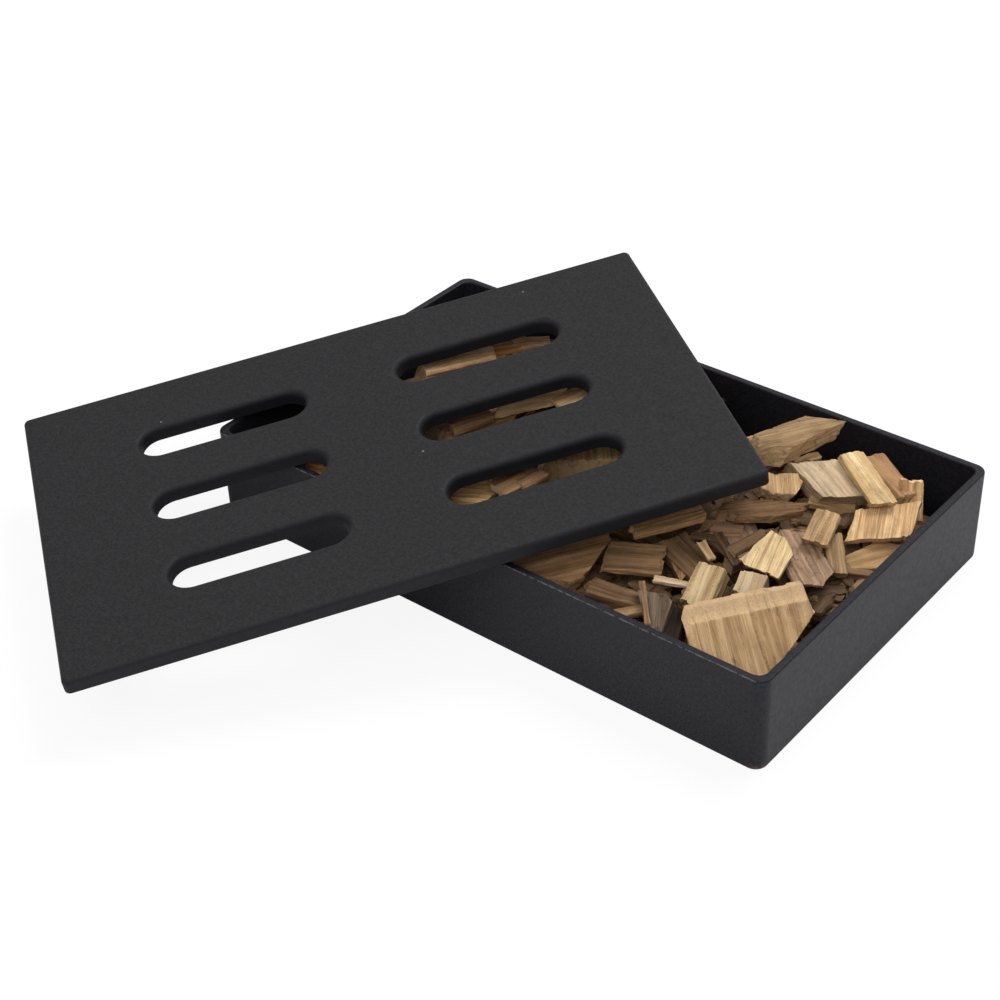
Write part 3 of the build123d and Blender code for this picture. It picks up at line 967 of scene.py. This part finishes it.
# %% [markdown]
# ## Litter
# Crumbs and flakes lie all over the heap, more than anyone would place by hand. That is work for Geometry
# Nodes, which copy one flake to many places. The flake itself is a few rings of four points, wide in the
# middle and narrow at the tips, slightly bent, with uneven corners. As it is copied hundreds of times, it
# has only a few dozen faces.

# %% One flake
FLAKE_LENGTH = 11
FLAKE_WIDTH = 5.5
FLAKE_THICKNESS = 1.5
FLAKE_RINGS = 6
FLAKE_BEND = 0.8
FLAKE_TIP = 0.35
FLAKE_BLUNT = 0.12
FLAKE_SHIFT = (-0.5, 0.5)
FLAKE_LONGER, FLAKE_WIDER, FLAKE_THICKER = (0, 0.5), (0.85, 1.1), (0.5, 1)
RING_CORNERS = ((-1, -1), (1, -1), (1, 1), (-1, 1))


def make_flake():
    """A thin torn flake with narrow ends, as an object that the nodes copy."""
    dice = np.random.default_rng(5)
    shape = bmesh.new()
    rings, grain = [], []
    for i in range(FLAKE_RINGS):
        share = i / (FLAKE_RINGS - 1)
        belly = math.sin(math.pi * (FLAKE_BLUNT + (1 - 2 * FLAKE_BLUNT) * share))
        wide = FLAKE_TIP + (1 - FLAKE_TIP) * belly
        shift, bend = dice.uniform(*FLAKE_SHIFT), FLAKE_BEND * math.sin(math.pi * share)
        ring = []
        for side, level in RING_CORNERS:
            u = (share - 0.5) * FLAKE_LENGTH + side * dice.uniform(*FLAKE_LONGER)
            v = side * FLAKE_WIDTH / 2 * wide * dice.uniform(*FLAKE_WIDER) + shift
            w = level * FLAKE_THICKNESS / 2 * dice.uniform(*FLAKE_THICKER) + bend
            ring.append(shape.verts.new(Vector((u, v, w)) * MM))
            grain.append((u, v, w))
        rings.append(ring)
    for first, second in zip(rings, rings[1:]):
        for k in range(4):
            shape.faces.new((first[k - 1], first[k], second[k], second[k - 1]))
    shape.faces.new(rings[0])
    shape.faces.new(rings[-1][::-1])
    bmesh.ops.recalc_face_normals(shape, faces=shape.faces)
    mesh = bpy.data.meshes.new("flake")
    shape.to_mesh(mesh)
    shape.free()
    store(mesh, np.array(grain), np.zeros(len(grain)), np.zeros(len(grain)))
    return bpy.data.objects.new("flake", mesh)


flake = make_flake()
print("a flake has", len(flake.data.polygons), "faces")

# %% [markdown]
# ## The scatter tree
# The tree scatters points over the faces it is given, kept some millimetres apart, and puts a flake on each
# with a turn, a tilt and a size of its own. Each flake also gets a random shift of its grain, so that no
# two look alike. Its sizes are named inputs, so that one tree serves every kind of litter, and it ends by
# making the copies real and giving them their wood.

# %% The scatter tree
LITTER_INPUTS = (
    ("Flake", "NodeSocketObject", None),
    ("Wood", "NodeSocketMaterial", None),
    ("Spacing", "NodeSocketFloat", 5 * MM),
    ("Smallest", "NodeSocketFloat", 0.5),
    ("Largest", "NodeSocketFloat", 1.15),
    ("Tilt", "NodeSocketFloat", math.radians(16)),
    ("Seed", "NodeSocketInt", 1),
)
MOST_FLAKES = 40000
FARTHEST_SHIFT = (60, 40, 20)


def scatter_tree():
    """Flakes scattered over the faces of a mesh."""
    tree = bpy.data.node_groups.new("litter", "GeometryNodeTree")
    tree.interface.new_socket("Geometry", in_out="INPUT", socket_type="NodeSocketGeometry")
    tree.interface.new_socket("Geometry", in_out="OUTPUT", socket_type="NodeSocketGeometry")
    for name, kind, value in LITTER_INPUTS:
        socket = tree.interface.new_socket(name, in_out="INPUT", socket_type=kind)
        if value is not None:
            socket.default_value = value

    def add(kind, inputs=(), out=0, **settings):
        return add_node(tree, kind, inputs, out, **settings)

    def lottery(inputs, out=0, kind="FLOAT_VECTOR"):
        return add("FunctionNodeRandomValue", {**inputs, "Seed": given["Seed"]}, out, data_type=kind)

    def keep(geometry, name, value):
        inputs = {"Geometry": geometry, "Name": name, "Value": value}
        kept = dict(data_type="FLOAT_VECTOR", domain="POINT")
        return add("GeometryNodeStoreNamedAttribute", inputs, **kept)

    def kept_value(name):
        return add("GeometryNodeInputNamedAttribute", {"Name": name}, data_type="FLOAT_VECTOR")

    given = add("NodeGroupInput").node.outputs
    scatter = {"Mesh": given["Geometry"], "Distance Min": given["Spacing"]}
    scatter = {**scatter, "Density Max": MOST_FLAKES, "Seed": given["Seed"]}
    points = add("GeometryNodeDistributePointsOnFaces", scatter, distribute_method="POISSON")
    points = keep(points, "shift", lottery({0: (0, 0, 0), 1: FARTHEST_SHIFT}))
    tilt = add("ShaderNodeMath", {0: given["Tilt"], 1: -1.0}, operation="MULTIPLY")
    low = add("ShaderNodeCombineXYZ", {0: tilt, 1: tilt, 2: 0.0})
    high = add("ShaderNodeCombineXYZ", {0: given["Tilt"], 1: given["Tilt"], 2: 2 * math.pi})
    turn = add("FunctionNodeEulerToRotation", {0: lottery({0: low, 1: high})})
    size = lottery({2: given["Smallest"], 3: given["Largest"]}, 1, "FLOAT")
    shape = add("GeometryNodeObjectInfo", {"Object": given["Flake"]}, out=4)
    copies = {"Points": points, "Instance": shape, "Rotation": turn, "Scale": size}
    copies = add("GeometryNodeInstanceOnPoints", copies)
    whole = add("GeometryNodeRealizeInstances", {"Geometry": copies})
    own, shift = kept_value("grain"), kept_value("shift")
    whole = keep(whole, "grain", add("ShaderNodeVectorMath", {0: own, 1: shift}, operation="ADD"))
    whole = add("GeometryNodeSetMaterial", {"Geometry": whole, "Material": given["Wood"]})
    add("NodeGroupOutput", {"Geometry": whole})
    return tree


litter_nodes = scatter_tree()
print("the litter tree has", len(litter_nodes.nodes), "nodes")

# %% [markdown]
# ## Litter on the heap
# The tree is laid on the upward faces of the middle layer, once for each kind of wood, with its own seed
# and spacing. Its inputs are set by their identifiers, and the result is taken off as a plain mesh.

# %% Litter on the heap
# Levels below 1 darken the litter as painted shade in the gaps between the chips
LITTER = (
    ("umber", 0.65, 11, 8 * MM),
    ("shade", 0.7, 12, 7 * MM),
    ("rust", 0.62, 13, 9 * MM),
    ("honey", 0.75, 14, 12 * MM),
)
LITTER_NODES = [name for name in sorted(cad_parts) if name.startswith("chip_middle")]
UPWARD = 0.8


def upward_faces(nodes):
    """The top faces of some nodes as one mesh."""
    shape = bmesh.new()
    for node in nodes:
        shape.from_mesh(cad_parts[node].data)
    sunk = [face for face in shape.faces if face.normal.z < UPWARD]
    bmesh.ops.delete(shape, geom=sunk, context="FACES")
    mesh = bpy.data.meshes.new("tops")
    shape.to_mesh(mesh)
    shape.free()
    return mesh


def litter(skin, seed, spacing):
    """Flakes of one wood over the heap, as a plain mesh."""
    ground = bpy.data.objects.new("ground", upward_faces(LITTER_NODES))
    bpy.context.scene.collection.objects.link(ground)
    modifier = ground.modifiers.new("litter", "NODES")
    modifier.node_group = litter_nodes
    values = {"Flake": flake, "Wood": skin, "Spacing": spacing, "Seed": seed}
    for socket in litter_nodes.interface.items_tree:
        if socket.name in values:
            modifier[socket.identifier] = values[socket.name]
    mesh = bpy.data.meshes.new_from_object(ground.evaluated_get(bpy.context.evaluated_depsgraph_get()))
    bpy.data.objects.remove(ground)
    return mesh


for tone, level, seed, spacing in LITTER:
    skin = wood("litter_" + tone, tone, level)
    flakes = litter(skin, seed, spacing)
    place_piece("litter_" + tone, flakes, None, [skin])
    print("litter of", tone, "has", len(flakes.polygons), "faces")

# %% [markdown]
# ## The floor
# The box stands on a wide white floor. It is pale for the light and nearly white for the camera, so that
# only the object's own shadow shows on it, and faint in mirrored rays, so that the iron's sides stay dark.

# %% Floor
FLOOR_SIZE = 6
FLOOR_GAP = 0.05 * MM
FLOOR_PAINT = (246, 246, 246)
WHITE_TO_CAMERA = 0.9
WHITE_IN_MIRROR = 0.12


def floor_material():
    """Pale paint that glows for the camera."""
    graph = Graph("white_sweep")
    paint = graph.add("BsdfDiffuse", {"Color": linear(FLOOR_PAINT)})
    white = graph.add("Emission", {"Color": (1, 1, 1, 1), "Strength": 1.0})
    rays = graph.add("LightPath").node.outputs
    mirrored = graph.math("MAXIMUM", rays["Is Glossy Ray"], rays["Is Transmission Ray"])
    mirrored = graph.math("MULTIPLY", mirrored, WHITE_IN_MIRROR)
    seen = graph.math("MULTIPLY", rays["Is Camera Ray"], WHITE_TO_CAMERA)
    glow = graph.math("MAXIMUM", seen, mirrored)
    graph.add("OutputMaterial", {"Surface": graph.add("MixShader", {0: glow, 1: paint, 2: white})})
    return graph.material


bpy.ops.mesh.primitive_plane_add(size=FLOOR_SIZE, location=(0, 0, -FLOOR_GAP))
floor = bpy.context.object
floor.name = "floor"
floor.data.materials.append(floor_material())
print("a floor of", FLOOR_SIZE, "m")

# %% [markdown]
# ## World and lamps
# Soft studio light comes from all round. One even light would make the box flat, so the world is stronger
# on one side, and two large lamps hang above: a softbox behind the box, which lights the tops of the chips
# and the right-hand wall, and a weaker fill in front. For the camera the world is plain white, like the
# floor.

# %% World
BRIGHT_SIDE = Vector((-0.7, 0.4, 0.7))
WORLD_TURN = (-0.4, 0.7)
WORLD_STRENGTH = (0.12, 0.55)


def studio_world():
    """White for the camera, and for the object a soft light that is stronger on one side."""
    world = bpy.data.worlds.new("studio")
    world.use_nodes = True
    tree = world.node_tree
    way = add_node(tree, "ShaderNodeTexCoord", out="Generated")
    sides = {0: way, 1: BRIGHT_SIDE.normalized()}
    facing = add_node(tree, "ShaderNodeVectorMath", sides, "Value", operation="DOT_PRODUCT")
    soft = {"Value": facing, "From Min": WORLD_TURN[0], "From Max": WORLD_TURN[1]}
    soft = {**soft, "To Min": WORLD_STRENGTH[0], "To Max": WORLD_STRENGTH[1]}
    soft = add_node(tree, "ShaderNodeMapRange", soft)
    seen = add_node(tree, "ShaderNodeLightPath", out="Is Camera Ray")
    strength = add_node(tree, "ShaderNodeMath", {0: soft, 1: seen}, operation="MAXIMUM")
    background = tree.nodes["Background"]
    tree.links.new(strength, background.inputs["Strength"])
    background.inputs["Color"].default_value = (1, 1, 1, 1)
    return world


bpy.context.scene.world = studio_world()
print("world light from", WORLD_STRENGTH[0], "to", WORLD_STRENGTH[1])

# %% [markdown]
# ## Lamps
# A lamp is easiest to place by the point it looks at, so each is turned towards the middle of the box. The
# table gives its place and width in metres and its power in watts.

# %% Lamps
LAMP_AIM = Vector((0, 0, 0.02))
LAMPS = {
    "softbox": ((0.2, 1.0, 2.0), 1.1, 32),
    "fill": ((0.6, -1.4, 1.8), 1.8, 28),
}

for name, (place, size, power) in LAMPS.items():
    lamp = bpy.data.objects.new(name, bpy.data.lights.new(name, "AREA"))
    lamp.data.size = size
    lamp.data.energy = power
    lamp.location = place
    lamp.rotation_euler = (LAMP_AIM - Vector(place)).to_track_quat("-Z", "Y").to_euler()
    bpy.context.scene.collection.objects.link(lamp)
print(len(LAMPS), "lamps")

# %% [markdown]
